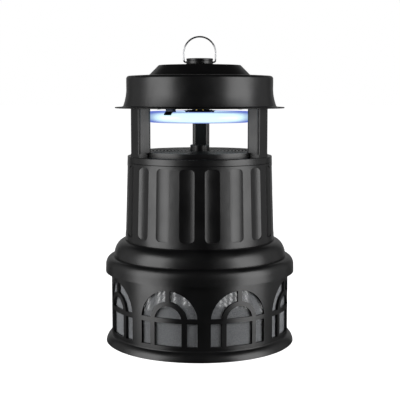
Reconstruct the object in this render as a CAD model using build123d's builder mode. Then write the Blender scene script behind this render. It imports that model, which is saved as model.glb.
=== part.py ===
from build123d import *
import os
from math import cos, radians, sin, sqrt

# A column-shaped ultraviolet insect trap. All sizes are in millimetres, +Z is up, the front faces -Y
# and the origin is under the middle of the base, at the level of the feet.

# ---- driving dimensions ------------------------------------------------------------------------
FOOT_HEIGHT = 1.0            # the rubber feet stand this far below the base ring
BASE_RADIUS = 141.8          # widest part, shared by the base ring and the collar
BASE_TOP = 15.3              # top of the base ring, where the cage wall stands
CAGE_RADIUS = 133.0
CAGE_WALL = 3.5
CAGE_TOP = 117.0
COLLAR_BOTTOM = 108.0
COLLAR_TOP = 131.0
SKIRT_TOP = 157.0            # where the fluted body stands on the quarter-round skirt
BODY_FOOT_RADIUS = 111.9
BODY_RIM_RADIUS = 107.8
BODY_RIM = 281.0
CAP_BOTTOM = 351.3           # underside of the cap's brim
CAP_RADIUS = 109.1
BRIM_RADIUS = 126.2
DOME_TOP = 414.6
KNOB_TOP = 424.5

# ---- catch basket ------------------------------------------------------------------------------
WINDOW_COUNT = 8
WINDOW_TURN = 25.2           # azimuth of the first window's middle, from the front towards +X
WINDOW_HALF = 42.2
SILL = 21.0
SPRING_LINE = 57.3
BAR = 6.6                    # width of every glazing bar
INNER_ARCH = 20.3            # inner radius of the small arch
SCREEN_RADIUS = 129.2
SCREEN_THICKNESS = 0.6
SLEEVE_BOTTOM = 17.0
PAN_RADIUS = 126.0
PAN_HEIGHT = 4.0
LEDGE_TOP = 4.0              # ledge of the base ring that carries the pan
PAN_SCREW_RADIUS = 122.5
FOOT_RADIUS = 8.0
FOOT_RING = 130.0

# ---- twist lock --------------------------------------------------------------------------------
TWIST = 20.0                 # degrees that the lock ring turns in the cage
RIM_INNER = 119.5            # inner radius of the cage's top rim
RIM_THICKNESS = 3.0
PEG_RING = 124.5
PEG_RADIUS = 2.0
PEG_PLAY = 0.5
LOCK_GAP = 0.3
LOCK_THICKNESS = 3.0
LOCK_OUTER = 132.2
LOCK_INNER = 119.0
KEY_DEPTH = 2.6              # how far the ring's keys reach into the spigot's grooves
KEY_WIDTH = 8.0
SPIGOT_OUTER = 118.0
SPIGOT_WALL = 3.6
SPIGOT_BOTTOM = 104.0
COLLAR_SCREW_RING = 121.2

# ---- fluted body -------------------------------------------------------------------------------
FLUTE_COUNT = 19
FLUTE_WIDTH = 21.6
FLUTE_DEPTH = 2.0
FLUTE_BOTTOM = 164.2
FLUTE_LENGTH = 103.2
FLUTE_CORNER = 6.5
BODY_WALL = 6.0
BODY_SCREW_RING = 103.0
BODY_SCREW_TURN = 9.0         # degrees that the body screws are turned from the axes
RIM_GROOVE = 271.5           # fine line between the flutes and the rim band
DECK_THICKNESS = 2.5
DECK_INNER = 83.0
DUCT_INNER = 80.0
DUCT_WALL = 2.5
DUCT_BOTTOM = 200.0
DUCT_FLANGE = 85.2

# ---- intake ------------------------------------------------------------------------------------
GRILLE_RADIUS = 92.7
GRILLE_TOP = 288.0
GRILLE_PLATE = 2.5
GRILLE_HUB = 14.2
GRILLE_HUB_TOP = 297.0
GRILLE_RINGS = 12
GRILLE_PITCH = 5.3
GRILLE_BAR = 2.6
GRILLE_SPOKES = 12
GRILLE_BORDER = 84.0         # inner radius of the grille's solid border
GRILLE_SCREW_RING = 89.0
PILLAR_AZIMUTHS = (-61.1, 58.9, 178.9)
PILLAR_FOOT = 286.0
PILLAR_OUTER = 107.5
PILLAR_INNER = 86.0
PILLAR_WIDTH = 23.2
PILLAR_CORNER = 4.0
PILLAR_SCREW_RING = 98.0
COVER_WIDTH = 27.0           # the pillar's outer strip is wider than the post behind it
COVER_THICKNESS = 4.4
COVER_ROUNDING = 2.1
PILLAR_TOP = 352.0

# ---- fan ---------------------------------------------------------------------------------------
MOTOR_RADIUS = 27.0
MOTOR_BOTTOM = 242.0
MOTOR_TOP = 270.0
MOTOR_SCREW_RING = 18.0
SHAFT_RADIUS = 3.0
SHAFT_PLAY = 0.05
FAN_HUB_RADIUS = 30.0
FAN_BOTTOM = 214.0
FAN_TOP = 236.0
FAN_RADIUS = 76.0
BLADE_COUNT = 7
BLADE_PITCH = 33.0
ARM_BOTTOM = 262.0
ARM_RING = 73.0

# ---- lamp and cap ------------------------------------------------------------------------------
LAMP_RING = 74.0             # centre line of the circular tube
LAMP_RADIUS = 8.0
LAMP_HEIGHT = 338.6
LAMP_GLASS = 0.9
CONNECTOR_RADIUS = 9.2
CONNECTOR_SPAN = 30.0        # degrees of the ring that the end cap bridges
CLIP_AZIMUTH = -34.0
CLIP_WIDTH = 12.0
CLIP_GRIP = 3.5              # the clip ends this far above the tube's centre line
SOCKET_WIDTH = 24.0
PLATE_THICKNESS = 2.5
PLATE_RADIUS = 110.2
CAP_WALL = 2.4
CAP_BOSS_RING = 82.0
BOARD_BOTTOM = 361.0
INLET_HEIGHT = 374.0

# ---- hanging ring ------------------------------------------------------------------------------
KNOB_RADIUS = 19.8
RING_PIVOT = 419.0
RING_RADIUS = 23.6           # centre line of the wire
RING_CENTRE = 432.8
RING_WIRE = 1.2
RING_END = 14.0
PIN_PLAY = 0.05

# ---- small screws ------------------------------------------------------------------------------
SCREW_RADIUS = 1.5
SCREW_HEAD = 3.0
SCREW_HEAD_HEIGHT = 2.0
SCREW_HOLE = 1.6

DOWN = (Align.CENTER, Align.CENTER, Align.MAX)
UP = (Align.CENTER, Align.CENTER, Align.MIN)
FRONT = -90.0                # the front's angle about Z, counted from +X
REAR = 90.0


def section(*corners):
    """A closed outline in the XZ plane from (radius, height, rounding) corners."""
    points = [corner[:2] for corner in corners]
    roundings = [corner[2] if len(corner) > 2 else 0 for corner in corners]
    with BuildSketch(Plane.XZ) as outline:
        with BuildLine():
            FilletPolyline(*points, radius=roundings, close=True)
        make_face()
    return outline.sketch


def screw(shank_length, head_radius=SCREW_HEAD, shank_radius=SCREW_RADIUS):
    """A pan-head screw with a cross slot: head above the XY plane, shank below it."""
    slot = head_radius * 0.35
    with BuildPart() as piece:
        Cylinder(head_radius, SCREW_HEAD_HEIGHT, align=UP)
        fillet(piece.faces().sort_by(Axis.Z)[-1].edges(), SCREW_HEAD_HEIGHT * 0.4)
        Cylinder(shank_radius, shank_length, align=DOWN)
        with Locations((0, 0, SCREW_HEAD_HEIGHT)):
            Box(head_radius * 1.3, slot, slot * 2, mode=Mode.SUBTRACT)
            Box(slot, head_radius * 1.3, slot * 2, mode=Mode.SUBTRACT)
    return piece.part


def at_azimuth(azimuth, radius, height):
    """A location on the ring of a radius: +X points outwards, azimuth 0 is the front."""
    angle = radians(azimuth + FRONT)
    spot = Pos(radius * cos(angle), radius * sin(angle), height)
    return spot * Rot(0, 0, azimuth + FRONT)


def upside_down(height):
    """A location that turns a screw over, so that its head hangs below a height."""
    return Pos(0, 0, height) * Rot(180, 0, 0)


# ---- catch basket: it stands on the floor ------------------------------------------------------
with BuildPart() as rubber_feet:
    with PolarLocations(FOOT_RING, 4, 45):
        Cylinder(FOOT_RADIUS, FOOT_HEIGHT + 2.0, align=UP)
    chamfer(rubber_feet.faces().group_by(Axis.Z)[0].edges(), 0.4)

with BuildPart() as base_ring:
    with BuildSketch(Plane.XZ):
        with BuildLine():
            bead = ThreePointArc((134.4, 14.0), (139.93, 8.0), (141.73, 2.0))
            Polyline(bead @ 1, (140.4, FOOT_HEIGHT), (119.0, FOOT_HEIGHT), (119.0, LEDGE_TOP),
                     (126.3, LEDGE_TOP), (126.3, 19.5), (128.3, 19.5), (128.3, BASE_TOP),
                     (133.6, BASE_TOP), bead @ 0)
        make_face()
    revolve(axis=Axis.Z)
    with PolarLocations(FOOT_RING, 4, 45):
        with Locations((0, 0, FOOT_HEIGHT)):
            Cylinder(FOOT_RADIUS, 2.0, align=UP, mode=Mode.SUBTRACT)
    with PolarLocations(PAN_SCREW_RADIUS, 4):
        with Locations((0, 0, LEDGE_TOP)):
            Cylinder(SCREW_HOLE, LEDGE_TOP - FOOT_HEIGHT - 0.6, align=DOWN, mode=Mode.SUBTRACT)

with BuildPart() as base_pan:
    pan_floor = LEDGE_TOP + 2.0
    revolve(section((0, LEDGE_TOP), (PAN_RADIUS, LEDGE_TOP), (PAN_RADIUS, pan_floor), (116.0, pan_floor),
                    (115.0, pan_floor + PAN_HEIGHT), (113.0, pan_floor + PAN_HEIGHT),
                    (112.5, pan_floor), (0, pan_floor)), axis=Axis.Z)
    with PolarLocations(PAN_SCREW_RADIUS, 4):
        with Locations((0, 0, LEDGE_TOP)):
            Cylinder(SCREW_HOLE, 2.0, align=UP, mode=Mode.SUBTRACT)

with BuildPart() as base_screws:
    with PolarLocations(PAN_SCREW_RADIUS, 4):
        with Locations((0, 0, LEDGE_TOP + 2.0)):
            add(screw(4.2, head_radius=2.8))


def arch(half_width):
    """A round-headed opening that stands on the sill."""
    with BuildSketch(Plane.XZ) as outline:
        with BuildLine():
            Polyline((-half_width, SPRING_LINE), (-half_width, SILL), (half_width, SILL),
                     (half_width, SPRING_LINE))
            ThreePointArc((half_width, SPRING_LINE), (0, SPRING_LINE + half_width),
                          (-half_width, SPRING_LINE))
        make_face()
    return outline.sketch


def window_lights():
    """The six lights of one window: everything in the big arch but its glazing bars."""
    bar_heads = INNER_ARCH + BAR
    with BuildSketch(Plane.XZ) as lights:
        add(arch(WINDOW_HALF))
        add(arch(bar_heads), mode=Mode.SUBTRACT)
        add(arch(INNER_ARCH))
        with Locations((0, SPRING_LINE)):
            Rectangle(2 * WINDOW_HALF, BAR, mode=Mode.SUBTRACT)
        with Locations((0, SPRING_LINE + (bar_heads + WINDOW_HALF) / 2)):
            Rectangle(BAR, WINDOW_HALF - bar_heads + 1.0, mode=Mode.SUBTRACT)
    return lights.sketch


with BuildPart() as window_cutter:
    extrude(window_lights(), amount=CAGE_RADIUS + 5)
    with BuildSketch(Plane.XZ):
        Rectangle(4 * WINDOW_HALF, 4 * CAGE_TOP)
    extrude(amount=CAGE_RADIUS * 0.6, mode=Mode.SUBTRACT)

with BuildPart() as cage_frame:
    inner_wall = CAGE_RADIUS - CAGE_WALL
    rim_bottom = CAGE_TOP - RIM_THICKNESS
    revolve(section((inner_wall, BASE_TOP), (CAGE_RADIUS, BASE_TOP), (CAGE_RADIUS, CAGE_TOP, 0.6),
                    (RIM_INNER, CAGE_TOP), (RIM_INNER, rim_bottom), (inner_wall, rim_bottom)),
            axis=Axis.Z)
    with PolarLocations(0, WINDOW_COUNT, WINDOW_TURN):
        add(window_cutter.part, mode=Mode.SUBTRACT)
    peg_travel = CenterArc((0, 0), PEG_RING, 0, TWIST)
    with BuildSketch(Plane.XY.offset(rim_bottom)):
        with PolarLocations(0, 3, FRONT):
            SlotArc(peg_travel, 2 * (PEG_RADIUS + PEG_PLAY))
    extrude(amount=RIM_THICKNESS, mode=Mode.SUBTRACT)

with BuildPart() as screen_sleeve:
    revolve(section((SCREEN_RADIUS - SCREEN_THICKNESS, SLEEVE_BOTTOM), (SCREEN_RADIUS, SLEEVE_BOTTOM),
                    (SCREEN_RADIUS, rim_bottom - 0.2),
                    (SCREEN_RADIUS - SCREEN_THICKNESS, rim_bottom - 0.2)), axis=Axis.Z)

with BuildPart() as screen_hoop:
    revolve(section((126.6, 108.0, 0.5), (128.4, 108.0), (128.4, rim_bottom - 0.2),
                    (126.6, rim_bottom - 0.2)), axis=Axis.Z)

# ---- lock ring: its pegs run in the cage's slots, its keys in the spigot's grooves --------------
with BuildPart() as lock_ring:
    lock_bottom = CAGE_TOP + LOCK_GAP
    lock_top = lock_bottom + LOCK_THICKNESS
    revolve(section((LOCK_INNER, lock_bottom), (LOCK_OUTER, lock_bottom), (LOCK_OUTER, lock_top, 0.5),
                    (LOCK_INNER, lock_top)), axis=Axis.Z)
    with PolarLocations(PEG_RING, 3, FRONT):
        with Locations((0, 0, lock_bottom + 0.5)):
            Cylinder(PEG_RADIUS, RIM_THICKNESS + 3.0, align=DOWN)
    with PolarLocations(LOCK_INNER, 3, FRONT + 60):
        with Locations((1.0, 0, lock_bottom)):
            Box(KEY_DEPTH + 1.0, KEY_WIDTH, LOCK_THICKNESS, align=(Align.MAX, Align.CENTER, Align.MIN))

# ---- head: collar, skirt and fluted body --------------------------------------------------------
with BuildPart() as collar:
    web = COLLAR_TOP - 3.0
    with BuildSketch(Plane.XZ):
        with BuildLine():
            shoulder = EllipticalCenterArc((132.0, 118.0), 9.6, COLLAR_TOP - 118.0,
                                           start_angle=0, arc_size=90)
            Polyline(shoulder @ 1, (SPIGOT_OUTER - SPIGOT_WALL, COLLAR_TOP),
                     (SPIGOT_OUTER - SPIGOT_WALL, SPIGOT_BOTTOM), (SPIGOT_OUTER, SPIGOT_BOTTOM),
                     (SPIGOT_OUTER, web), (124.5, web), (124.5, lock_top + LOCK_GAP),
                     (128.0, lock_top + LOCK_GAP), (128.0, web), (131.5, web), (136.8, 119.0),
                     (137.0, COLLAR_BOTTOM), (BASE_RADIUS, COLLAR_BOTTOM), shoulder @ 0)
        make_face()
    revolve(axis=Axis.Z)
    with PolarLocations(SPIGOT_OUTER, 3, FRONT + 60):
        with Locations((0.5, 0, SPIGOT_BOTTOM)):
            Box(KEY_DEPTH - 0.4, KEY_WIDTH + 1.0, web - SPIGOT_BOTTOM,
                align=(Align.MAX, Align.CENTER, Align.MIN), mode=Mode.SUBTRACT)
    with PolarLocations(COLLAR_SCREW_RING, 4, 45):
        with Locations((0, 0, web)):
            Cylinder(SCREW_HOLE, 3.0, align=UP, mode=Mode.SUBTRACT)

with BuildPart() as skirt_ring:
    with BuildSketch(Plane.XZ):
        with BuildLine():
            outside = EllipticalCenterArc((112.2, COLLAR_TOP), 16.9, SKIRT_TOP - 1.6 - COLLAR_TOP,
                                          start_angle=0, arc_size=90)
            Polyline(outside @ 1, (112.2, SKIRT_TOP), (99.0, SKIRT_TOP), (99.0, SKIRT_TOP - 3),
                     (107.5, SKIRT_TOP - 3), (108.0, SKIRT_TOP - 4.4), (112.0, SKIRT_TOP - 4.4))
            inside = EllipticalCenterArc((112.0, COLLAR_TOP), 13.9, SKIRT_TOP - 4.4 - COLLAR_TOP,
                                         start_angle=0, arc_size=90)
            Line(inside @ 0, outside @ 0)
        make_face()
    revolve(axis=Axis.Z)
    with PolarLocations(COLLAR_SCREW_RING, 4, 45):
        with Locations((0, 0, COLLAR_TOP)):
            Cylinder(3.4, 12.0, align=UP)
            Cylinder(SCREW_HOLE, 11.0, align=UP, mode=Mode.SUBTRACT)
    with PolarLocations(BODY_SCREW_RING, 4, BODY_SCREW_TURN):
        with Locations((0, 0, SKIRT_TOP)):
            Cylinder(SCREW_HOLE, 6.0, align=DOWN, mode=Mode.SUBTRACT)

with BuildPart() as collar_screws:
    with PolarLocations(COLLAR_SCREW_RING, 4, 45):
        with Locations(upside_down(web)):
            add(screw(13.0, head_radius=2.6))

flute_tilt = (BODY_FOOT_RADIUS - BODY_RIM_RADIUS) / (BODY_RIM - SKIRT_TOP)
flute_middle = FLUTE_BOTTOM + FLUTE_LENGTH / 2
flute_surface = BODY_FOOT_RADIUS - flute_tilt * (flute_middle - SKIRT_TOP)
flute_slant = flute_tilt * 0.98  # a touch steeper than the wall, so that the flute deepens downwards
flute_plane = Plane(origin=(flute_surface, 0, flute_middle), x_dir=(0, 1, 0), z_dir=(1, 0, flute_slant))
edge_drop = flute_surface - sqrt(flute_surface ** 2 - (FLUTE_WIDTH / 2) ** 2)
groove_depth = FLUTE_DEPTH - edge_drop
groove_radius = ((FLUTE_WIDTH / 2) ** 2 + groove_depth ** 2) / (2 * groove_depth)

with BuildPart() as flute_cutter:
    with BuildSketch(flute_plane.offset(-10)):
        RectangleRounded(FLUTE_WIDTH, FLUTE_LENGTH, FLUTE_CORNER)
    extrude(amount=20)
    with Locations(flute_plane.offset(groove_radius - FLUTE_DEPTH).location * Rot(90, 0, 0)):
        Cylinder(groove_radius, FLUTE_LENGTH + 10, mode=Mode.INTERSECT)


def wall_radius(height):
    """Outer radius of the fluted body's cone at a height."""
    return BODY_FOOT_RADIUS - flute_tilt * (height - SKIRT_TOP)


with BuildPart() as body_shell:
    deck = BODY_RIM - DECK_THICKNESS
    revolve(section((BODY_FOOT_RADIUS - BODY_WALL, SKIRT_TOP), (BODY_FOOT_RADIUS, SKIRT_TOP),
                    (wall_radius(RIM_GROOVE - 0.5), RIM_GROOVE - 0.5),
                    (wall_radius(RIM_GROOVE) - 0.5, RIM_GROOVE),
                    (wall_radius(RIM_GROOVE + 0.5), RIM_GROOVE + 0.5),
                    (BODY_RIM_RADIUS, BODY_RIM, 1.0), (DECK_INNER, BODY_RIM), (DECK_INNER, deck),
                    (BODY_RIM_RADIUS - BODY_WALL, deck)), axis=Axis.Z)
    with PolarLocations(0, FLUTE_COUNT, FRONT + 180 / FLUTE_COUNT):
        add(flute_cutter.part, mode=Mode.SUBTRACT)
    with PolarLocations(BODY_SCREW_RING, 4, BODY_SCREW_TURN):
        with Locations((0, 0, SKIRT_TOP)):
            Cylinder(3.6, 16.0, align=UP)
            Cylinder(SCREW_HOLE, 12.0, align=UP, mode=Mode.SUBTRACT)
    for azimuth in PILLAR_AZIMUTHS:
        with Locations(at_azimuth(azimuth, PILLAR_OUTER - 0.4, BODY_RIM)):
            Box(PILLAR_OUTER - PILLAR_INNER, COVER_WIDTH, PILLAR_FOOT - BODY_RIM,
                align=(Align.MAX, Align.CENTER, Align.MIN))
        with Locations(at_azimuth(azimuth, PILLAR_SCREW_RING, deck)):
            Cylinder(SCREW_HOLE, 12.0, align=UP, mode=Mode.SUBTRACT)
        with Locations(at_azimuth(azimuth + 60, GRILLE_SCREW_RING, deck)):
            Cylinder(SCREW_HOLE, 12.0, align=UP, mode=Mode.SUBTRACT)

with BuildPart() as body_screws:
    with PolarLocations(BODY_SCREW_RING, 4, BODY_SCREW_TURN):
        with Locations(upside_down(SKIRT_TOP - 3.0)):
            add(screw(13.0))

# ---- head: fan duct, grille, motor and its bracket ----------------------------------------------
with BuildPart() as fan_duct:
    duct_outer = DUCT_INNER + DUCT_WALL
    revolve(section((DUCT_INNER, DUCT_BOTTOM), (duct_outer, DUCT_BOTTOM), (duct_outer, BODY_RIM),
                    (DUCT_FLANGE, BODY_RIM), (DUCT_FLANGE, BODY_RIM + 2.0),
                    (DUCT_INNER, BODY_RIM + 2.0, 1.0)), axis=Axis.Z)
    with PolarLocations(ARM_RING, 3, FRONT):
        with Locations((0, 0, ARM_BOTTOM)):
            Box(16.0, 11.0, 8.0, align=DOWN)
            Cylinder(SCREW_HOLE, 7.0, align=DOWN, mode=Mode.SUBTRACT)
    with BuildSketch(Plane.XY.offset(ARM_BOTTOM - 9)):
        Circle(duct_outer + 10)
        Circle(duct_outer, mode=Mode.SUBTRACT)
    extrude(amount=12, mode=Mode.SUBTRACT)

with BuildPart() as intake_grille:
    plate = GRILLE_TOP - GRILLE_PLATE
    with BuildSketch(Plane.XY.offset(plate)):
        Circle(GRILLE_RADIUS)
        Circle(GRILLE_BORDER, mode=Mode.SUBTRACT)
        for step in range(GRILLE_RINGS):
            ring = GRILLE_HUB + GRILLE_PITCH * (step + 1)
            with BuildSketch(mode=Mode.ADD):
                Circle(ring + GRILLE_BAR / 2)
                Circle(ring - GRILLE_BAR / 2, mode=Mode.SUBTRACT)
        with PolarLocations((GRILLE_HUB + GRILLE_BORDER) / 2, GRILLE_SPOKES, FRONT + 15):
            Rectangle(GRILLE_BORDER - GRILLE_HUB + 4.0, GRILLE_BAR)
        Circle(GRILLE_HUB)
    extrude(amount=GRILLE_PLATE)
    revolve(section((GRILLE_RADIUS - 2.2, BODY_RIM), (GRILLE_RADIUS, BODY_RIM),
                    (GRILLE_RADIUS, GRILLE_TOP, 0.6), (GRILLE_RADIUS - 2.2, GRILLE_TOP)), axis=Axis.Z)
    with Locations((0, 0, plate - 2.0)):
        Cylinder(GRILLE_HUB, GRILLE_HUB_TOP - plate + 2.0, align=UP)
    fillet(intake_grille.faces().sort_by(Axis.Z)[-1].edges(), 1.5)
    for azimuth in PILLAR_AZIMUTHS:
        with Locations(at_azimuth(azimuth, PILLAR_INNER - 0.4, BODY_RIM - 1)):
            Box(30.0, COVER_WIDTH + 0.8, 12.0, align=(Align.MIN, Align.CENTER, Align.MIN),
                mode=Mode.SUBTRACT)
        with Locations(at_azimuth(azimuth + 60, GRILLE_SCREW_RING, BODY_RIM)):
            Cylinder(3.2, plate - BODY_RIM + 0.5, align=UP)
            Cylinder(SCREW_HOLE, plate - BODY_RIM, align=UP, mode=Mode.SUBTRACT)

with BuildPart() as grille_screws:
    for azimuth in PILLAR_AZIMUTHS:
        with Locations(at_azimuth(azimuth + 60, GRILLE_SCREW_RING, 0) * upside_down(deck)):
            add(screw(6.4, head_radius=2.8))

with BuildPart() as motor_bracket:
    with BuildSketch(Plane.XY.offset(MOTOR_TOP)):
        Circle(MOTOR_RADIUS + 2)
        with PolarLocations(0, 3, FRONT):
            with Locations((50.0, 0)):
                Rectangle(58.0, 8.0)
    extrude(amount=3.0)
    with PolarLocations(ARM_RING, 3, FRONT):
        with Locations((0, 0, ARM_BOTTOM)):
            Box(12.0, 8.0, MOTOR_TOP + 3.0 - ARM_BOTTOM, align=UP)
            Cylinder(SCREW_HOLE, 20.0, align=UP, mode=Mode.SUBTRACT)
    with PolarLocations(MOTOR_SCREW_RING, 3, FRONT + 60):
        with Locations((0, 0, MOTOR_TOP)):
            Cylinder(SCREW_HOLE, 3.0, align=UP, mode=Mode.SUBTRACT)

with BuildPart() as bracket_screws:
    with PolarLocations(ARM_RING, 3, FRONT):
        with Locations((0, 0, MOTOR_TOP + 3.0)):
            add(screw(16.5))

with BuildPart() as fan_motor:
    with Locations((0, 0, MOTOR_BOTTOM)):
        Cylinder(MOTOR_RADIUS, MOTOR_TOP - MOTOR_BOTTOM, align=UP)
    fillet(fan_motor.faces().sort_by(Axis.Z)[0].edges(), 2.5)
    with Locations((0, 0, MOTOR_BOTTOM)):
        Cylinder(7.0, 2.5, align=DOWN)
        Cylinder(SHAFT_RADIUS + SHAFT_PLAY, 20.5, align=UP, mode=Mode.SUBTRACT)
        Cylinder(SHAFT_RADIUS + SHAFT_PLAY, 2.5, align=DOWN, mode=Mode.SUBTRACT)
    with PolarLocations(MOTOR_RADIUS, 24):
        with Locations((0, 0, MOTOR_BOTTOM + 5)):
            Box(2.0, 2.0, 18.0, align=UP, mode=Mode.SUBTRACT)
    with PolarLocations(MOTOR_SCREW_RING, 3, FRONT + 60):
        with Locations((0, 0, MOTOR_TOP)):
            Cylinder(SCREW_HOLE, 8.0, align=DOWN, mode=Mode.SUBTRACT)

with BuildPart() as motor_screws:
    with PolarLocations(MOTOR_SCREW_RING, 3, FRONT + 60):
        with Locations((0, 0, MOTOR_TOP + 3.0)):
            add(screw(10.0))

# ---- fan rotor: it spins on the motor's shaft ---------------------------------------------------
with BuildPart() as fan_rotor:
    with PolarLocations((FAN_RADIUS + FAN_HUB_RADIUS) / 2 - 1, BLADE_COUNT):
        Box(FAN_RADIUS - FAN_HUB_RADIUS + 4, 26.0, 1.8, rotation=(BLADE_PITCH, 0, 0))
    fan_middle = (FAN_BOTTOM + FAN_TOP) / 2
    Cylinder(FAN_RADIUS, 60.0, mode=Mode.INTERSECT)
    Cylinder(FAN_HUB_RADIUS, FAN_TOP - FAN_BOTTOM)
    with Locations((0, 0, (FAN_TOP - FAN_BOTTOM) / 2)):
        Cylinder(FAN_HUB_RADIUS - 2, FAN_TOP - FAN_BOTTOM - 2.5, align=DOWN, mode=Mode.SUBTRACT)
        Cylinder(7.0, FAN_TOP - FAN_BOTTOM - 2.0, align=DOWN)
    Cylinder(SHAFT_RADIUS, 60.0, mode=Mode.SUBTRACT)
fan_rotor.part.move(Pos(0, 0, fan_middle))

with BuildPart() as motor_shaft:
    with Locations((0, 0, FAN_BOTTOM - 6.0)):
        Cylinder(SHAFT_RADIUS, MOTOR_BOTTOM + 20.0 - FAN_BOTTOM + 6.0, align=UP)
    chamfer(motor_shaft.faces().filter_by(GeomType.PLANE).edges(), 0.4)

with BuildPart() as fan_nut:
    with BuildSketch(Plane.XY.offset(FAN_BOTTOM - 4.0)):
        RegularPolygon(5.5, 6)
        Circle(SHAFT_RADIUS, mode=Mode.SUBTRACT)
    extrude(amount=4.0)


# ---- head: the three pillars --------------------------------------------------------------------
def pillar(azimuth):
    """A post with rounded inner corners and a wider, rounded outer strip."""
    half_post = PILLAR_WIDTH / 2
    strip_back = PILLAR_OUTER - COVER_THICKNESS
    with BuildPart() as piece:
        with BuildSketch(Plane.XY.offset(PILLAR_FOOT)) as outline:
            with BuildLine():
                FilletPolyline((strip_back, -half_post), (strip_back, half_post),
                               (PILLAR_INNER, half_post), (PILLAR_INNER, -half_post),
                               radius=[0, 0, PILLAR_CORNER, PILLAR_CORNER], close=True)
            make_face()
            with Locations((PILLAR_OUTER - COVER_THICKNESS / 2, 0)):
                RectangleRounded(COVER_THICKNESS, COVER_WIDTH, COVER_ROUNDING)
        extrude(amount=PILLAR_TOP - PILLAR_FOOT)
        with Locations((PILLAR_SCREW_RING, 0, PILLAR_FOOT)):
            Cylinder(SCREW_HOLE, 12.0, align=UP, mode=Mode.SUBTRACT)
        with Locations((PILLAR_SCREW_RING, 0, PILLAR_TOP)):
            Cylinder(SCREW_HOLE, 12.0, align=DOWN, mode=Mode.SUBTRACT)
    return Rot(0, 0, azimuth + FRONT) * piece.part


with BuildPart() as pillar_left:
    add(pillar(PILLAR_AZIMUTHS[0]))

with BuildPart() as pillar_right:
    add(pillar(PILLAR_AZIMUTHS[1]))

with BuildPart() as pillar_rear:
    add(pillar(PILLAR_AZIMUTHS[2]))

with BuildPart() as pillar_foot_screws:
    for azimuth in PILLAR_AZIMUTHS:
        with Locations(at_azimuth(azimuth, PILLAR_SCREW_RING, 0) * upside_down(deck)):
            add(screw(18.5))

with BuildPart() as pillar_head_screws:
    for azimuth in PILLAR_AZIMUTHS:
        with Locations(at_azimuth(azimuth, PILLAR_SCREW_RING, PILLAR_TOP + PLATE_THICKNESS)):
            add(screw(13.0))

# ---- head: cap and its floor plate ---------------------------------------------------------------
plate_top = PILLAR_TOP + PLATE_THICKNESS

with BuildPart() as cap_shell:
    with BuildSketch(Plane.XZ):
        with BuildLine():
            skirt = FilletPolyline((3.4, DOME_TOP), (60.8, DOME_TOP), (75.0, 400.4), (CAP_RADIUS, 398.6),
                                   (CAP_RADIUS, 384.0), radius=[0.8, 0.5, 4.5])
            flare = ThreePointArc(skirt @ 1, (CAP_RADIUS + 0.6, 370.7), (112.9, 357.4))
            brim = Polyline(flare @ 1, (113.8, 354.6), (116.0, 353.6), (BRIM_RADIUS - 0.3, 353.0),
                            (BRIM_RADIUS, 352.2), (BRIM_RADIUS - 0.4, CAP_BOTTOM), (110.5, CAP_BOTTOM),
                            (110.5, 357.0), (CAP_RADIUS - CAP_WALL, 372.0),
                            (CAP_RADIUS - CAP_WALL, 396.1), (74.4, 398.0), (60.0, DOME_TOP - CAP_WALL),
                            (3.4, DOME_TOP - CAP_WALL), skirt @ 0)
        make_face()
    revolve(axis=Axis.Z)
    with PolarLocations(CAP_BOSS_RING, 4, 45):
        with Locations((0, 0, plate_top)):
            Cylinder(4.5, 399.0 - plate_top, align=UP)
            Cylinder(SCREW_HOLE, 14.0, align=UP, mode=Mode.SUBTRACT)
    with Locations(Plane(origin=(0, CAP_RADIUS - 8, INLET_HEIGHT), z_dir=(0, 1, 0))):
        Cylinder(6.0, 20.0, align=UP, mode=Mode.SUBTRACT)

with BuildPart() as cap_plate:
    revolve(section((0, PILLAR_TOP), (PLATE_RADIUS, PILLAR_TOP), (PLATE_RADIUS, plate_top + 1.5),
                    (PLATE_RADIUS - 2, plate_top + 1.5), (PLATE_RADIUS - 2, plate_top), (0, plate_top)),
            axis=Axis.Z)
    for azimuth in PILLAR_AZIMUTHS:
        with Locations(at_azimuth(azimuth, PILLAR_SCREW_RING, PILLAR_TOP)):
            Cylinder(SCREW_HOLE, PLATE_THICKNESS, align=UP, mode=Mode.SUBTRACT)
    with PolarLocations(CAP_BOSS_RING, 4, 45):
        with Locations((0, 0, PILLAR_TOP)):
            Cylinder(SCREW_HOLE, PLATE_THICKNESS, align=UP, mode=Mode.SUBTRACT)

with BuildPart() as cap_screws:
    with PolarLocations(CAP_BOSS_RING, 4, 45):
        with Locations(upside_down(PILLAR_TOP)):
            add(screw(14.0))

with BuildPart() as cord_inlet:
    with BuildSketch(Plane(origin=(0, CAP_RADIUS - 5, INLET_HEIGHT), z_dir=(0, 1, 0))):
        Circle(5.9)
        Circle(3.2, mode=Mode.SUBTRACT)
    extrude(amount=9.0)
    with BuildSketch(Plane(origin=(0, CAP_RADIUS + 1.8, INLET_HEIGHT), z_dir=(0, 1, 0))):
        Circle(8.0)
        Circle(3.2, mode=Mode.SUBTRACT)
    extrude(amount=3.2)
    fillet(cord_inlet.faces().sort_by(Axis.Y)[-1].edges(), 0.7)

# ---- head: lamp ----------------------------------------------------------------------------------
def ring_sector(outer, inner, start, span):
    """A length of circular tube on the lamp's centre line."""
    with BuildPart() as piece:
        with BuildSketch(Plane.XZ):
            with Locations((LAMP_RING, LAMP_HEIGHT)):
                Circle(outer)
                if inner:
                    Circle(inner, mode=Mode.SUBTRACT)
        revolve(axis=Axis.Z, revolution_arc=span)
    return Rot(0, 0, start) * piece.part


with BuildPart() as lamp_tube:
    add(ring_sector(LAMP_RADIUS, LAMP_RADIUS - LAMP_GLASS, REAR + CONNECTOR_SPAN / 2, 360 - CONNECTOR_SPAN))

pin_spots = [(x, LAMP_RING + y) for x in (-5.0, 5.0) for y in (-3.5, 3.5)]

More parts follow.
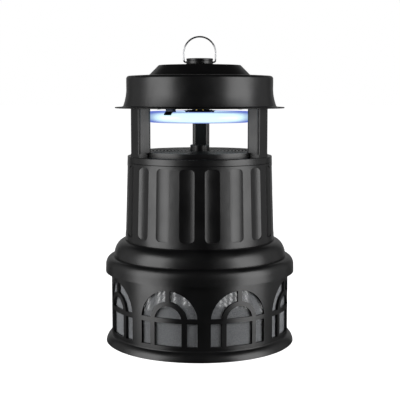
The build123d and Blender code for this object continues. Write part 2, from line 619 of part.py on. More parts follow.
with BuildPart() as lamp_connector:
    add(ring_sector(CONNECTOR_RADIUS, 0, REAR - CONNECTOR_SPAN / 2, CONNECTOR_SPAN))
    with Locations([(x, y, LAMP_HEIGHT + 4) for x, y in pin_spots]):
        Cylinder(1.25, 10.0, align=UP, mode=Mode.SUBTRACT)

with BuildPart() as lamp_pins:
    with Locations([(x, y, LAMP_HEIGHT + 4) for x, y in pin_spots]):
        Cylinder(1.2, 7.6, align=UP)

with BuildPart() as lamp_socket:
    socket_bottom = LAMP_HEIGHT + CONNECTOR_RADIUS + 0.2
    with BuildSketch(Plane.XY.offset(socket_bottom)):
        with Locations((0, LAMP_RING)):
            RectangleRounded(SOCKET_WIDTH, 18.0, 2.5)
    extrude(amount=PILLAR_TOP - socket_bottom)
    with Locations([(x, y, socket_bottom) for x, y in pin_spots]):
        Cylinder(1.25, 2.6, align=UP, mode=Mode.SUBTRACT)


clip_inner = LAMP_RADIUS + 0.3
clip_outer = clip_inner + 1.2

with BuildPart() as lamp_clip:
    with BuildSketch(Plane.XZ):
        with Locations((LAMP_RING, LAMP_HEIGHT)):
            Circle(clip_outer)
        with Locations((LAMP_RING, LAMP_HEIGHT + CLIP_GRIP)):
            Rectangle(4 * clip_outer, 2 * clip_outer, align=(Align.CENTER, Align.MAX), mode=Mode.SUBTRACT)
        with Locations((LAMP_RING, (LAMP_HEIGHT + PILLAR_TOP) / 2)):
            Rectangle(8.0, PILLAR_TOP - LAMP_HEIGHT)
        with Locations((LAMP_RING, PILLAR_TOP)):
            Rectangle(15.0, 1.6, align=(Align.CENTER, Align.MAX))
        with Locations((LAMP_RING, LAMP_HEIGHT)):
            Circle(clip_inner, mode=Mode.SUBTRACT)
    extrude(amount=CLIP_WIDTH / 2, both=True)
lamp_clip.part.locate(Rot(0, 0, CLIP_AZIMUTH + FRONT))

# ---- head: ballast -------------------------------------------------------------------------------
board_corners = [(x, y) for x in (-32.0, 32.0) for y in (-25.0, 25.0)]

with BuildPart() as ballast_board:
    with BuildSketch(Plane.XY.offset(BOARD_BOTTOM)):
        Rectangle(76.0, 60.0)
        with Locations(board_corners):
            Circle(SCREW_HOLE, mode=Mode.SUBTRACT)
    extrude(amount=1.6)

with BuildPart() as board_posts:
    with Locations([(x, y, plate_top) for x, y in board_corners]):
        Cylinder(3.5, BOARD_BOTTOM - plate_top, align=UP)
        Cylinder(SCREW_HOLE, BOARD_BOTTOM - plate_top, align=UP, mode=Mode.SUBTRACT)

with BuildPart() as board_screws:
    with Locations([(x, y, BOARD_BOTTOM + 1.6) for x, y in board_corners]):
        add(screw(7.5, head_radius=2.8))

with BuildPart() as ballast_choke:
    with Locations((-14.0, 6.0, BOARD_BOTTOM + 1.6)):
        Box(24.0, 20.0, 18.0, align=UP)
        Box(14.0, 26.0, 12.0, align=UP)

with BuildPart() as ballast_capacitors:
    with Locations((12.0, 14.0, BOARD_BOTTOM + 1.6), (12.0, -2.0, BOARD_BOTTOM + 1.6)):
        Cylinder(6.0, 20.0, align=UP)
    fillet(ballast_capacitors.faces().group_by(Axis.Z)[-1].edges(), 0.8)

# ---- head: hanger knob ---------------------------------------------------------------------------
with BuildPart() as hanger_knob:
    revolve(section((0, DOME_TOP), (22.4, DOME_TOP), (22.4, DOME_TOP + 0.9), (KNOB_RADIUS, DOME_TOP + 2.2),
                    (KNOB_RADIUS, 420.6), (KNOB_RADIUS - 0.5, 421.0), (KNOB_RADIUS - 0.5, 421.5),
                    (KNOB_RADIUS, 421.9), (KNOB_RADIUS, KNOB_TOP, 0.8), (0, KNOB_TOP)), axis=Axis.Z)
    with Locations((0, 0, DOME_TOP)):
        Cylinder(3.1, 7.0, align=UP, mode=Mode.SUBTRACT)
    for side in (-1, 1):
        with Locations(Plane(origin=(side * 13.5, 0, RING_PIVOT), z_dir=(side, 0, 0))):
            Cylinder(RING_WIRE + PIN_PLAY, 10.0, align=UP, mode=Mode.SUBTRACT)

with BuildPart() as hanger_washer:
    with BuildSketch(Plane.XY.offset(DOME_TOP - CAP_WALL - 1.5)):
        Circle(10.0)
        Circle(3.3, mode=Mode.SUBTRACT)
    extrude(amount=1.5)

with BuildPart() as hanger_bolt:
    with BuildSketch(Plane.XY.offset(DOME_TOP - CAP_WALL - 5.5)):
        RegularPolygon(5.8, 6)
    extrude(amount=4.0)
    with Locations((0, 0, DOME_TOP - CAP_WALL - 1.5)):
        Cylinder(3.0, 10.2, align=UP)

# ---- hanging ring: it swings on its own ends in the knob -----------------------------------------
with BuildPart() as hanging_ring:
    with BuildLine(Plane.XZ) as wire_path:
        FilletPolyline((RING_END, RING_PIVOT), (RING_RADIUS, RING_PIVOT), (RING_RADIUS, RING_CENTRE),
                       radius=3.2)
        ThreePointArc((RING_RADIUS, RING_CENTRE), (0, RING_CENTRE + RING_RADIUS),
                      (-RING_RADIUS, RING_CENTRE))
        FilletPolyline((-RING_RADIUS, RING_CENTRE), (-RING_RADIUS, RING_PIVOT), (-RING_END, RING_PIVOT),
                       radius=3.2)
    with BuildSketch(Plane(origin=(RING_END, 0, RING_PIVOT), z_dir=(1, 0, 0))):
        Circle(RING_WIRE)
    sweep(path=wire_path.wires()[0])

PIECES = {
    "rubber_feet": rubber_feet, "base_ring": base_ring, "base_pan": base_pan, "base_screws": base_screws,
    "cage_frame": cage_frame, "screen_sleeve": screen_sleeve, "screen_hoop": screen_hoop,
    "lock_ring": lock_ring, "collar": collar, "skirt_ring": skirt_ring, "collar_screws": collar_screws,
    "body_shell": body_shell, "body_screws": body_screws, "fan_duct": fan_duct,
    "intake_grille": intake_grille, "grille_screws": grille_screws, "motor_bracket": motor_bracket,
    "bracket_screws": bracket_screws, "fan_motor": fan_motor, "motor_screws": motor_screws,
    "fan_rotor": fan_rotor, "motor_shaft": motor_shaft, "fan_nut": fan_nut,
    "pillar_left": pillar_left, "pillar_right": pillar_right, "pillar_rear": pillar_rear,
    "pillar_foot_screws": pillar_foot_screws, "pillar_head_screws": pillar_head_screws,
    "cap_shell": cap_shell, "cap_plate": cap_plate, "cap_screws": cap_screws, "cord_inlet": cord_inlet,
    "lamp_tube": lamp_tube, "lamp_connector": lamp_connector, "lamp_pins": lamp_pins,
    "lamp_socket": lamp_socket, "lamp_clip": lamp_clip, "ballast_board": ballast_board,
    "board_posts": board_posts, "board_screws": board_screws, "ballast_choke": ballast_choke,
    "ballast_capacitors": ballast_capacitors, "hanger_knob": hanger_knob,
    "hanger_washer": hanger_washer, "hanger_bolt": hanger_bolt, "hanging_ring": hanging_ring,
}

os.makedirs("parts", exist_ok=True)
for name, piece in PIECES.items():
    piece.part.label = name
    export_step(piece.part, f"parts/{name}.step")
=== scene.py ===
"""An ultraviolet fan trap for insects: finishes, woven screen, lamp collars and studio."""

from math import atan2, cos, pi, radians, sin

import bmesh
import bpy
from bpy.props import FloatProperty, IntProperty, PointerProperty
from mathutils import Matrix, Vector


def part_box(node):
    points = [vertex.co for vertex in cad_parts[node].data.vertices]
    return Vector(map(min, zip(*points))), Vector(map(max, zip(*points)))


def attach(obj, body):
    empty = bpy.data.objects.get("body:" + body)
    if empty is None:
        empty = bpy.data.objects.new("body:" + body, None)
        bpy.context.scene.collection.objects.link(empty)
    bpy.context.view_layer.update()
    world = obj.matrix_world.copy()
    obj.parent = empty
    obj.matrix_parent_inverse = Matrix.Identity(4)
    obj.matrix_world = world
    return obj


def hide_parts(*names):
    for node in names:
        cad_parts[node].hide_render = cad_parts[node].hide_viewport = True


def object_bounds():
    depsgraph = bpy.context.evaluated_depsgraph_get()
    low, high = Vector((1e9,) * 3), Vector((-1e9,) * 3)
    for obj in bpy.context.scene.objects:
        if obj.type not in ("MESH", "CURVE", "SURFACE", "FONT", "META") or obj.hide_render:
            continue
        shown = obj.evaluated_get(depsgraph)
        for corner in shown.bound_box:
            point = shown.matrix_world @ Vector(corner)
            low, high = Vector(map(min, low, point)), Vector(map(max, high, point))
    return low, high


bl_info = {
    "name": "Insect trap studio",
    "version": (1, 0, 0),
    "blender": (4, 5, 0),
    "location": "3D View > Sidebar > Trap",
    "description": "Finishes the moulded insect trap, weaves its screen and sets up its studio",
    "category": "Object",
}

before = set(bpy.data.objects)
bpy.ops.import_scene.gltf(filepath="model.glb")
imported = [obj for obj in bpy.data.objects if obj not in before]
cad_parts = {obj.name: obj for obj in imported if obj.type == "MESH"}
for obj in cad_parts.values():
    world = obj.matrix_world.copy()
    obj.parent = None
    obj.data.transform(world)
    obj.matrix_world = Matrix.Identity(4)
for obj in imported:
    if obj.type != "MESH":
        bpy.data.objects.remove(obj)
CAD_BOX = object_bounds()
MM = 0.001

# ---- where things are, read from the frame ------------------------------------------------------


def ring_of(node):
    """(outer radius, lowest, highest) of a round node that stands on the Z axis, in metres."""
    low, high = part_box(node)
    return high.x, low.z, high.z


SCREEN_OUTER, SCREEN_LOW, SCREEN_HIGH = ring_of("screen_sleeve")
LAMP_OUTER, LAMP_LOW, LAMP_HIGH = ring_of("lamp_tube")
TUBE_RADIUS = (LAMP_HIGH - LAMP_LOW) / 2
LAMP_RING = LAMP_OUTER - TUBE_RADIUS
LAMP_LEVEL = (LAMP_HIGH + LAMP_LOW) / 2

FERRULE_START = 0.94  # where a lamp collar begins, as a part of the connector's half width
FERRULE_GAP = 0.5 * MM
FERRULE_SHEET = 0.4 * MM

SOFTBOX_RANGE = 1.3  # from the trap's axis to each softbox
SOFTBOX_LEVEL = 0.35
SOFTBOX_HEIGHT = 1.3
FRONT_TURN, FRONT_WIDTH = radians(62), 1.0
REAR_TURN, REAR_WIDTH = radians(108), 0.9
REAR_SHARE = 0.06  # power of a softbox's rear half, as a part of the front's
WALL_PLACE, WALL_SIZE = (0, 2.2, 0.6), (3.2, 2.0)
FLOOR_HALF = 30.0

# ---- colours and node trees ---------------------------------------------------------------------


def linear(hex_colour, alpha=1.0):
    """An sRGB hex colour as linear red, green, blue and alpha."""
    channels = [int(hex_colour[i:i + 2], 16) / 255 for i in (1, 3, 5)]
    return [c / 12.92 if c <= 0.04045 else ((c + 0.055) / 1.055) ** 2.4 for c in channels] + [alpha]


def add_node(tree, kind, values=(), links=(), **settings):
    """Add a node with its settings, its sockets' values and links as (socket, node, output)."""
    node = tree.nodes.new(kind)
    for name, value in settings.items():
        setattr(node, name, value)
    for socket, value in dict(values).items():
        node.inputs[socket].default_value = value
    for socket, source, output in links:
        tree.links.new(source.outputs[output], node.inputs[socket])
    return node


def new_finish(name):
    """A material with a Principled surface; returns the material, its tree and its shader."""
    material = bpy.data.materials.new(name)
    material.use_nodes = True
    tree = material.node_tree
    return material, tree, tree.nodes["Principled BSDF"]


def per_mm(size):
    """Pattern scale that puts one feature in so many millimetres."""
    return 1 / (size * MM)


def blotches(tree, size_mm, detail=3.0, stretch=(1, 1, 1)):
    """Noise on Object coordinates with features of a real size."""
    place = add_node(tree, "ShaderNodeTexCoord")
    turn = add_node(tree, "ShaderNodeMapping", {"Scale": stretch}, [("Vector", place, "Object")])
    return add_node(tree, "ShaderNodeTexNoise", {"Scale": per_mm(size_mm), "Detail": detail},
                    [("Vector", turn, "Vector")])


def spread(tree, source, output, low, high, start=0.35, stop=0.65):
    """Map a pattern onto a range of values."""
    return add_node(tree, "ShaderNodeMapRange",
                    {"From Min": start, "From Max": stop, "To Min": low, "To Max": high},
                    [("Value", source, output)])


def relief(tree, shader, source, output, strength, depth_mm):
    """Raise the surface by a pattern, to a real depth."""
    bump = add_node(tree, "ShaderNodeBump", {"Strength": strength, "Distance": depth_mm * MM},
                    [("Height", source, output)])
    tree.links.new(bump.outputs["Normal"], shader.inputs["Normal"])
    return bump


def tint(tree, shader, source, output, dark, light, start=0.35, stop=0.65):
    """Run the base colour from a darker to a lighter shade with a pattern."""
    ramp = add_node(tree, "ShaderNodeValToRGB", (), [("Fac", source, output)])
    ramp.color_ramp.elements[0].position = start
    ramp.color_ramp.elements[1].position = stop
    ramp.color_ramp.elements[0].color = linear(dark)
    ramp.color_ramp.elements[1].color = linear(light)
    tree.links.new(ramp.outputs["Color"], shader.inputs["Base Color"])
    return ramp


# ---- finishes -----------------------------------------------------------------------------------


def black_abs(name, dark="#050506", light="#09090a", rough=(0.3, 0.38)):
    """Injection-moulded ABS from a fine-grained mould: satin black, with a soft, even sheen.

    Flow in the mould leaves broad, faint differences in gloss; the spark-eroded grain is 0.4 mm.
    """
    material, tree, shader = new_finish(name)
    flow = blotches(tree, 38.0)
    tint(tree, shader, flow, "Fac", dark, light)
    gloss = spread(tree, flow, "Fac", *rough)
    tree.links.new(gloss.outputs["Result"], shader.inputs["Roughness"])
    grain = blotches(tree, 0.4, 2.0)
    relief(tree, shader, grain, "Fac", 0.08, 0.02)
    shader.inputs["IOR"].default_value = 1.5
    return material


def vinyl_coated_yarn():
    """Woven glass yarn in a grey vinyl coat: thin, slightly shiny threads."""
    material, tree, shader = new_finish("Vinyl-coated screen yarn, grey")
    beads = blotches(tree, 1.5)
    tint(tree, shader, beads, "Fac", "#8d8f92", "#a9abae")
    relief(tree, shader, beads, "Fac", 0.2, 0.03)
    shader.inputs["Roughness"].default_value = 0.5
    shader.inputs["IOR"].default_value = 1.52
    return material


def phosphor_glass():
    """Soda-lime lamp tube with a phosphor coat inside: milky, and lit from end to end.

    Seen square on, the coat is a cold, nearly white glow. At the limbs the light comes through more
    glass and fades to violet-blue.
    """
    material, tree, shader = new_finish("Phosphor-coated lamp glass, lit")
    coat = blotches(tree, 12.0)
    tint(tree, shader, coat, "Fac", "#8f98a8", "#a0a9ba")
    limb = add_node(tree, "ShaderNodeLayerWeight", {"Blend": 0.5})
    glow = add_node(tree, "ShaderNodeValToRGB", (), [("Fac", limb, "Facing")])
    for element, colour, place in zip(glow.color_ramp.elements, ("#dafcff", "#6074cc"), (0.3, 0.72)):
        element.position = place
        element.color = linear(colour)
    tree.links.new(glow.outputs["Color"], shader.inputs["Emission Color"])
    shader.inputs["Emission Strength"].default_value = 1.0
    shader.inputs["Roughness"].default_value = 0.25
    shader.inputs["IOR"].default_value = 1.52
    return material


def zinc_plate(name="Zinc-plated screw steel"):
    """Steel with bright zinc: pale grey with a fine, cloudy crystal bloom."""
    material, tree, shader = new_finish(name)
    bloom = blotches(tree, 1.2)
    tint(tree, shader, bloom, "Fac", "#a9abad", "#c9cbcc")
    gloss = spread(tree, bloom, "Fac", 0.26, 0.4)
    tree.links.new(gloss.outputs["Result"], shader.inputs["Roughness"])
    shader.inputs["Metallic"].default_value = 1.0
    return material


def nickel_wire():
    """Drawn steel wire with nickel plate: mirror-like along its length, with fine draw lines."""
    material, tree, shader = new_finish("Nickel-plated drawn wire")
    lines = blotches(tree, 0.5, 2.0, (1, 1, 0.1))
    tint(tree, shader, lines, "Fac", "#8f9092", "#bfc0c1")
    relief(tree, shader, lines, "Fac", 0.1, 0.01)
    shader.inputs["Metallic"].default_value = 1.0
    shader.inputs["Roughness"].default_value = 0.24
    return material


def ground_shaft():
    """Centreless-ground steel: bright, with fine rings round the shaft."""
    material, tree, shader = new_finish("Ground shaft steel")
    rings = blotches(tree, 0.8, 2.0, (0.2, 0.2, 1))
    tint(tree, shader, rings, "Fac", "#b4b5b6", "#d3d4d5")
    relief(tree, shader, rings, "Fac", 0.08, 0.01)
    shader.inputs["Metallic"].default_value = 1.0
    shader.inputs["Roughness"].default_value = 0.22
    return material


def spring_strip():
    """Blued spring strip: dark steel with a rolled grain along it."""
    material, tree, shader = new_finish("Blued spring steel strip")
    rolled = blotches(tree, 0.9, 2.0, (1, 1, 0.15))
    tint(tree, shader, rolled, "Fac", "#16181d", "#2a2e36")
    shader.inputs["Metallic"].default_value = 1.0
    shader.inputs["Roughness"].default_value = 0.34
    return material


def moulded_rubber(name):
    """Compression-moulded rubber: dead black with a dusty bloom and a slight pebble."""
    material, tree, shader = new_finish(name)
    bloom = blotches(tree, 6.0)
    tint(tree, shader, bloom, "Fac", "#0f0f0f", "#1c1c1b")
    pebble = blotches(tree, 0.7, 2.0)
    relief(tree, shader, pebble, "Fac", 0.25, 0.05)
    shader.inputs["Roughness"].default_value = 0.82
    return material


def motor_enamel():
    """Dip-enamelled steel can: dark grey, slightly orange-peeled gloss."""
    material, tree, shader = new_finish("Dip enamel on motor steel")
    peel = blotches(tree, 2.2, 2.0)
    tint(tree, shader, peel, "Fac", "#1b1c1f", "#232529")
    relief(tree, shader, peel, "Fac", 0.15, 0.05)
    shader.inputs["Roughness"].default_value = 0.3
    shader.inputs["Coat Weight"].default_value = 0.5
    shader.inputs["Coat Roughness"].default_value = 0.15
    return material


def powder_coat():
    """Polyester powder coat: black, matt, with a fine crumb."""
    material, tree, shader = new_finish("Polyester powder coat, black")
    crumb = blotches(tree, 0.9, 2.0)
    tint(tree, shader, crumb, "Fac", "#0d0d0e", "#161617")
    relief(tree, shader, crumb, "Fac", 0.3, 0.04)
    shader.inputs["Roughness"].default_value = 0.55
    return material


def contact_brass():
    """Turned brass pins: yellow, softly tarnished in patches."""
    material, tree, shader = new_finish("Turned brass")
    tarnish = blotches(tree, 3.0)
    tint(tree, shader, tarnish, "Fac", "#a5853f", "#d8b767")
    shader.inputs["Metallic"].default_value = 1.0
    shader.inputs["Roughness"].default_value = 0.28
    return material


def board_laminate():
    """Glass-epoxy circuit board: green solder resist over faint copper tracks."""
    material, tree, shader = new_finish("Glass-epoxy board, green resist")
    place = add_node(tree, "ShaderNodeTexCoord")
    tracks = add_node(tree, "ShaderNodeTexVoronoi", {"Scale": per_mm(6.0)},
                      [("Vector", place, "Object")], distance="CHEBYCHEV", feature="DISTANCE_TO_EDGE")
    tint(tree, shader, tracks, "Distance", "#2f6b3d", "#174a26", 0.02, 0.1)
    shader.inputs["Roughness"].default_value = 0.32
    return material


def varnished_laminations():
    """A stack of 0.5 mm core plates under brown varnish: fine level lines."""
    material, tree, shader = new_finish("Varnished core laminations")
    place = add_node(tree, "ShaderNodeTexCoord")
    plates = add_node(tree, "ShaderNodeTexWave", {"Scale": per_mm(2 * 0.5 * pi), "Distortion": 0.4},
                      [("Vector", place, "Object")], bands_direction="Z")
    tint(tree, shader, plates, "Fac", "#2a211a", "#5a4c40", 0.3, 0.7)
    relief(tree, shader, plates, "Fac", 0.4, 0.1)
    shader.inputs["Roughness"].default_value = 0.4
    shader.inputs["Metallic"].default_value = 0.6
    return material


def shrink_sleeve():
    """Printed shrink film round a capacitor: glossy dark blue, slightly rippled."""
    material, tree, shader = new_finish("Shrink film, dark blue")
    ripple = blotches(tree, 5.0, 1.0)
    tint(tree, shader, ripple, "Fac", "#141f4a", "#1d2b5e")
    relief(tree, shader, ripple, "Fac", 0.2, 0.1)
    shader.inputs["Roughness"].default_value = 0.2
    return material


def pale_floor():
    """Seamless studio paper: nearly white, evenly lit, with a broad and very faint change of tone."""
    material, tree, shader = new_finish("Studio paper, white")
    fade = blotches(tree, 900.0)
    tint(tree, shader, fade, "Fac", "#f6f6f6", "#fbfbfb")
    shader.inputs["Roughness"].default_value = 0.9
    shader.inputs["Emission Color"].default_value = (1.0, 1.0, 1.0, 1.0)
    shader.inputs["Emission Strength"].default_value = 1.0
    return material


# ---- mesh helpers -------------------------------------------------------------------------------


def finish_piece(shape, name, material, body, smooth=True):
    """Turn a bmesh into a piece that rides on a body and takes a material slot's finish."""
    bmesh.ops.recalc_face_normals(shape, faces=shape.faces)
    mesh = bpy.data.meshes.new(name)
    shape.to_mesh(mesh)
    shape.free()
    for face in mesh.polygons:
        face.use_smooth = smooth
    mesh.materials.append(material)
    piece = bpy.data.objects.new(name, mesh)
    bpy.context.scene.collection.objects.link(piece)
    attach(piece, body)
    return piece


def turned_ring(shape, profile, steps):
    """Spin a closed profile of (radius, height) points round the Z axis."""
    rim = [shape.verts.new((radius, 0, height)) for radius, height in profile]
    edges = [shape.edges.new((rim[i - 1], rim[i])) for i in range(len(rim))]
    bmesh.ops.spin(shape, geom=rim + edges, cent=(0, 0, 0), axis=(0, 0, 1), angle=2 * pi, steps=steps,
                   use_merge=True)


def circle_profile(radius, height, thickness, sides):
    """Points of a small circle that a ring of wire is spun from."""
    turns = [2 * pi * (i + 0.5) / sides for i in range(sides)]
    return [(radius + thickness * cos(t), height + thickness * sin(t)) for t in turns]


def dress(nodes, material):
    """Give CAD nodes a material in place of the one they were packed with."""
    for name in nodes:
        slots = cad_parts[name].data.materials
        slots.clear()
        slots.append(material)


# ---- sizes and colours --------------------------------------------------------------------------


class ScreenSettings(bpy.types.PropertyGroup):
    """Sizes of the woven insect screen."""

    pitch: FloatProperty(name="Pitch", description="Distance from yarn to yarn", default=1.4 * MM,
                         min=0.5 * MM, unit="LENGTH", precision=4)
    yarn: FloatProperty(name="Yarn", description="Diameter of one coated yarn", default=0.7 * MM,
                        min=0.05 * MM, unit="LENGTH", precision=5)
    steps: IntProperty(name="Steps", description="Straight runs in one level ring of yarn", default=96,
                       min=24, max=256)


class LampSettings(bpy.types.PropertyGroup):
    """Collars of the ring lamp."""

    ferrule: FloatProperty(name="Ferrule", description="Length of the collar at each end of the tube",
                           default=5.0 * MM, min=1.0 * MM, unit="LENGTH", precision=4)


class StudioSettings(bpy.types.PropertyGroup):
    """Camera and lights."""

    distance: FloatProperty(name="Distance", description="Camera to the trap's axis", default=1.4325,
                            unit="LENGTH")
    aside: FloatProperty(name="Aside", description="How far the camera stands to the right of the axis",
                         default=0.45 * MM, unit="LENGTH", precision=5)
    height: FloatProperty(name="Height", description="Height of the camera", default=0.3715, unit="LENGTH")
    pitch: FloatProperty(name="Pitch", description="How far down the camera looks", default=radians(6.3),
                         unit="ROTATION")
    lens: FloatProperty(name="Lens", description="Focal length in millimetres on a 36 mm sensor",
                        default=86.04, min=1.0)
    softboxes: FloatProperty(name="Softboxes", description="Power of each tall softbox at the sides",
                             default=18.0, min=0.0, unit="POWER")
    wall: FloatProperty(name="Wall", description="Power of the broad, dim wall of light behind",
                        default=6.0, min=0.0, unit="POWER")
    ambient: FloatProperty(name="Ambient", description="Brightness of the room in reflections",
                           default=0.035, min=0.0)


class TrapSettings(bpy.types.PropertyGroup):
    """All settings of the trap."""

    screen: PointerProperty(type=ScreenSettings)
    lamp: PointerProperty(type=LampSettings)
    studio: PointerProperty(type=StudioSettings)


# ---- operators ----------------------------------------------------------------------------------


class TRAP_OT_finishes(bpy.types.Operator):
    """Give every CAD node its finish"""

    bl_idname = "trap.finishes"
    bl_label = "Finish the moulded and metal parts"

    def execute(self, context):
        dress(["cage_frame", "screen_hoop", "base_pan", "base_ring", "lock_ring"],
              black_abs("Moulded ABS, black, basket"))
        dress(["collar", "skirt_ring", "body_shell", "fan_duct", "intake_grille"],
              black_abs("Moulded ABS, black, body"))
        dress(["pillar_left", "pillar_right", "pillar_rear", "cap_shell", "cap_plate", "hanger_knob"],
              black_abs("Moulded ABS, black, cap", rough=(0.32, 0.4)))
        dress(["fan_rotor"], black_abs("Moulded nylon, black", "#0b0b0c", "#141415", (0.42, 0.5)))
        dress(["lamp_connector", "lamp_socket"], black_abs("Moulded lamp-holder resin", "#101114", "#191a1e"))
        dress(["board_posts"], black_abs("Moulded board posts", "#0b0b0c", "#111112", (0.5, 0.6)))
        dress(["lamp_tube"], phosphor_glass())
        dress(["base_screws", "collar_screws", "body_screws", "grille_screws", "bracket_screws",
               "motor_screws", "pillar_foot_screws", "pillar_head_screws", "cap_screws", "board_screws",
               "fan_nut", "hanger_washer", "hanger_bolt"], zinc_plate())
        dress(["hanging_ring"], nickel_wire())
        dress(["motor_shaft"], ground_shaft())
        dress(["lamp_clip"], spring_strip())
        dress(["rubber_feet"], moulded_rubber("Compression-moulded rubber, feet"))
        dress(["cord_inlet"], moulded_rubber("Compression-moulded rubber, gland"))
        dress(["fan_motor"], motor_enamel())
        dress(["motor_bracket"], powder_coat())
        dress(["lamp_pins"], contact_brass())
        dress(["ballast_board"], board_laminate())
        dress(["ballast_choke"], varnished_laminations())
        dress(["ballast_capacitors"], shrink_sleeve())
        return {"FINISHED"}


class TRAP_OT_insect_screen(bpy.types.Operator):
    """Weave the insect screen from upright yarns and level rings of yarn"""

    bl_idname = "trap.insect_screen"
    bl_label = "Weave the insect screen"

    def execute(self, context):
        sizes = context.scene.trap.screen
        yarn = sizes.yarn / 2
        inner = SCREEN_OUTER - 3 * yarn
        shape = bmesh.new()
        upright = bmesh.ops.create_cone(shape, cap_ends=True, segments=4, radius1=yarn, radius2=yarn,
                                        depth=SCREEN_HIGH - SCREEN_LOW)["verts"]
        bmesh.ops.translate(shape, verts=upright, vec=(inner, 0, (SCREEN_HIGH + SCREEN_LOW) / 2))
        count = round(2 * pi * inner / sizes.pitch)
        bmesh.ops.spin(shape, geom=shape.faces[:] + shape.edges[:] + shape.verts[:], cent=(0, 0, 0),
                       axis=(0, 0, 1), angle=2 * pi * (count - 1) / count, steps=count - 1,
                       use_duplicate=True)
        rows = int((SCREEN_HIGH - SCREEN_LOW - 2 * yarn) / sizes.pitch)
        first = bmesh.new()
        turned_ring(first, circle_profile(SCREEN_OUTER - yarn, SCREEN_LOW + 2 * yarn, yarn, 4), sizes.steps)
        level = bpy.data.meshes.new("level yarn")
        for _ in range(rows + 1):
            first.to_mesh(level)
            shape.from_mesh(level)
            bmesh.ops.translate(first, verts=first.verts, vec=(0, 0, sizes.pitch))
        first.free()
        bpy.data.meshes.remove(level)
        piece = finish_piece(shape, "insect_screen", vinyl_coated_yarn(), "basket", False)
        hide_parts("screen_sleeve")
        return {"FINISHED"}


class TRAP_OT_lamp_ferrules(bpy.types.Operator):
    """Turn the two collars that close the ends of the lamp's tube"""

    bl_idname = "trap.lamp_ferrules"
    bl_label = "Make the lamp's end collars"

    def execute(self, context):
        sizes = context.scene.trap.lamp
        connector_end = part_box("lamp_connector")[1]
        half_span = atan2(connector_end.x, LAMP_RING)
        length = sizes.ferrule / LAMP_RING
        shape = bmesh.new()
        for side in (-1, 1):
            start = pi / 2 + side * half_span * FERRULE_START
            collar = bmesh.ops.create_circle(shape, segments=32, radius=TUBE_RADIUS + FERRULE_GAP)["verts"]
            rim = [edge for edge in shape.edges if edge.verts[0] in collar and edge.verts[1] in collar]
            bmesh.ops.rotate(shape, verts=collar, matrix=Matrix.Rotation(pi / 2, 3, "X"))
            bmesh.ops.translate(shape, verts=collar, vec=(LAMP_RING, 0, LAMP_LEVEL))
            bmesh.ops.rotate(shape, verts=collar, matrix=Matrix.Rotation(start, 3, "Z"))
            bmesh.ops.spin(shape, geom=collar + rim, cent=(0, 0, 0), axis=(0, 0, 1),
                           angle=side * length, steps=4)
        bmesh.ops.recalc_face_normals(shape, faces=shape.faces)
        bmesh.ops.solidify(shape, geom=shape.faces[:], thickness=FERRULE_SHEET)
        finish_piece(shape, "lamp_ferrules", zinc_plate("Rolled aluminium collar"), "head")
        return {"FINISHED"}


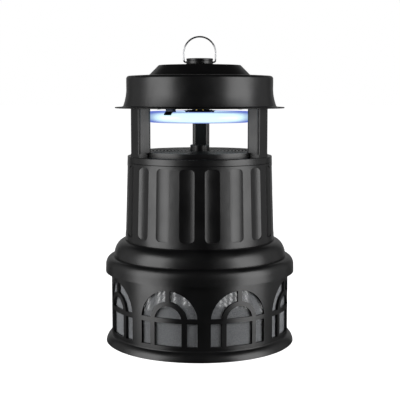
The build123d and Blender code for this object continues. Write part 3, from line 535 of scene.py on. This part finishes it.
class TRAP_OT_studio(bpy.types.Operator):
    """Lay the floor, hang the lights and place the camera"""

    bl_idname = "trap.studio"
    bl_label = "Set up the studio"

    def area(self, name, place, aim, size, power):
        """A rectangular light that points at a spot and isn't seen by the camera."""
        data = bpy.data.lights.new(name, "AREA")
        data.shape = "RECTANGLE"
        data.size, data.size_y = size
        data.energy = power
        light = bpy.data.objects.new(name, data)
        way = Vector(aim) - Vector(place)
        light.matrix_world = Matrix.Translation(place) @ way.to_track_quat("-Z", "Y").to_matrix().to_4x4()
        light.visible_camera = False
        bpy.context.scene.collection.objects.link(light)

    def softbox(self, name, turn, width, aim, power):
        """A tall light on a circle round the trap, turned from the front towards +X."""
        place = (SOFTBOX_RANGE * sin(turn), -SOFTBOX_RANGE * cos(turn), SOFTBOX_LEVEL)
        self.area(name, place, aim, (width, SOFTBOX_HEIGHT), power)

    def floor(self):
        """A wide sheet of paper under the trap."""
        shape = bmesh.new()
        bmesh.ops.create_grid(shape, x_segments=1, y_segments=1, size=FLOOR_HALF)
        mesh = bpy.data.meshes.new("floor")
        shape.to_mesh(mesh)
        shape.free()
        mesh.materials.append(pale_floor())
        sheet = bpy.data.objects.new("floor", mesh)
        bpy.context.scene.collection.objects.link(sheet)
        sheet.visible_glossy = False
        sheet.visible_diffuse = False

    def room(self, ambient):
        """A white room behind the trap that is dim in reflections, like black flags round a table."""
        world = bpy.data.worlds.new("Studio")
        bpy.context.scene.world = world
        world.use_nodes = True
        tree = world.node_tree
        tree.nodes.clear()
        seen = add_node(tree, "ShaderNodeBackground", {"Color": (1, 1, 1, 1), "Strength": 1.0})
        felt = add_node(tree, "ShaderNodeBackground", {"Color": (1, 1, 1, 1), "Strength": ambient})
        path = add_node(tree, "ShaderNodeLightPath")
        both = add_node(tree, "ShaderNodeMixShader", (), [("Fac", path, "Is Camera Ray")])
        tree.links.new(felt.outputs[0], both.inputs[1])
        tree.links.new(seen.outputs[0], both.inputs[2])
        add_node(tree, "ShaderNodeOutputWorld", (), [("Surface", both, 0)])

    def camera(self, sizes):
        """A long lens in front of the trap, a little above its middle."""
        data = bpy.data.cameras.new("camera")
        data.sensor_width = 36.0
        data.lens = sizes.lens
        camera = bpy.data.objects.new("camera", data)
        camera.location = (sizes.aside, -sizes.distance, sizes.height)
        camera.rotation_euler = (pi / 2 - sizes.pitch, 0, 0)
        bpy.context.scene.collection.objects.link(camera)
        bpy.context.scene.camera = camera

    def execute(self, context):
        sizes = context.scene.trap.studio
        context.scene.view_settings.view_transform = "Standard"
        self.floor()
        self.room(sizes.ambient)
        self.camera(sizes)
        middle = (0, 0, CAD_BOX[1][2] / 2)
        for side, name in ((-1, "left softbox"), (1, "right softbox")):
            self.softbox(name, side * FRONT_TURN, FRONT_WIDTH, middle, sizes.softboxes)
            self.softbox(f"{name}, rear", side * REAR_TURN, REAR_WIDTH, middle, sizes.softboxes * REAR_SHARE)
        self.area("rear wall", WALL_PLACE, middle, WALL_SIZE, sizes.wall)
        return {"FINISHED"}


class TRAP_PT_panel(bpy.types.Panel):
    """The trap's tools in the sidebar"""

    bl_label = "Insect trap"
    bl_idname = "TRAP_PT_panel"
    bl_space_type = "VIEW_3D"
    bl_region_type = "UI"
    bl_category = "Trap"

    def draw(self, context):
        for operator in STEPS:
            self.layout.operator(operator.bl_idname)
        for group in (context.scene.trap.screen, context.scene.trap.lamp, context.scene.trap.studio):
            for name in group.__annotations__:
                self.layout.prop(group, name)


STEPS = (TRAP_OT_studio, TRAP_OT_finishes, TRAP_OT_insect_screen, TRAP_OT_lamp_ferrules)
CLASSES = (ScreenSettings, LampSettings, StudioSettings, TrapSettings, *STEPS, TRAP_PT_panel)


def register():
    for item in CLASSES:
        bpy.utils.register_class(item)
    bpy.types.Scene.trap = PointerProperty(type=TrapSettings)


def unregister():
    del bpy.types.Scene.trap
    for item in reversed(CLASSES):
        bpy.utils.unregister_class(item)


def main():
    """Run every step in order."""
    register()
    for step in STEPS:
        group, name = step.bl_idname.split(".")
        if getattr(getattr(bpy.ops, group), name)() != {"FINISHED"}:
            raise RuntimeError(f"{step.bl_label} didn't finish")


if __name__ == "__main__":
    main()
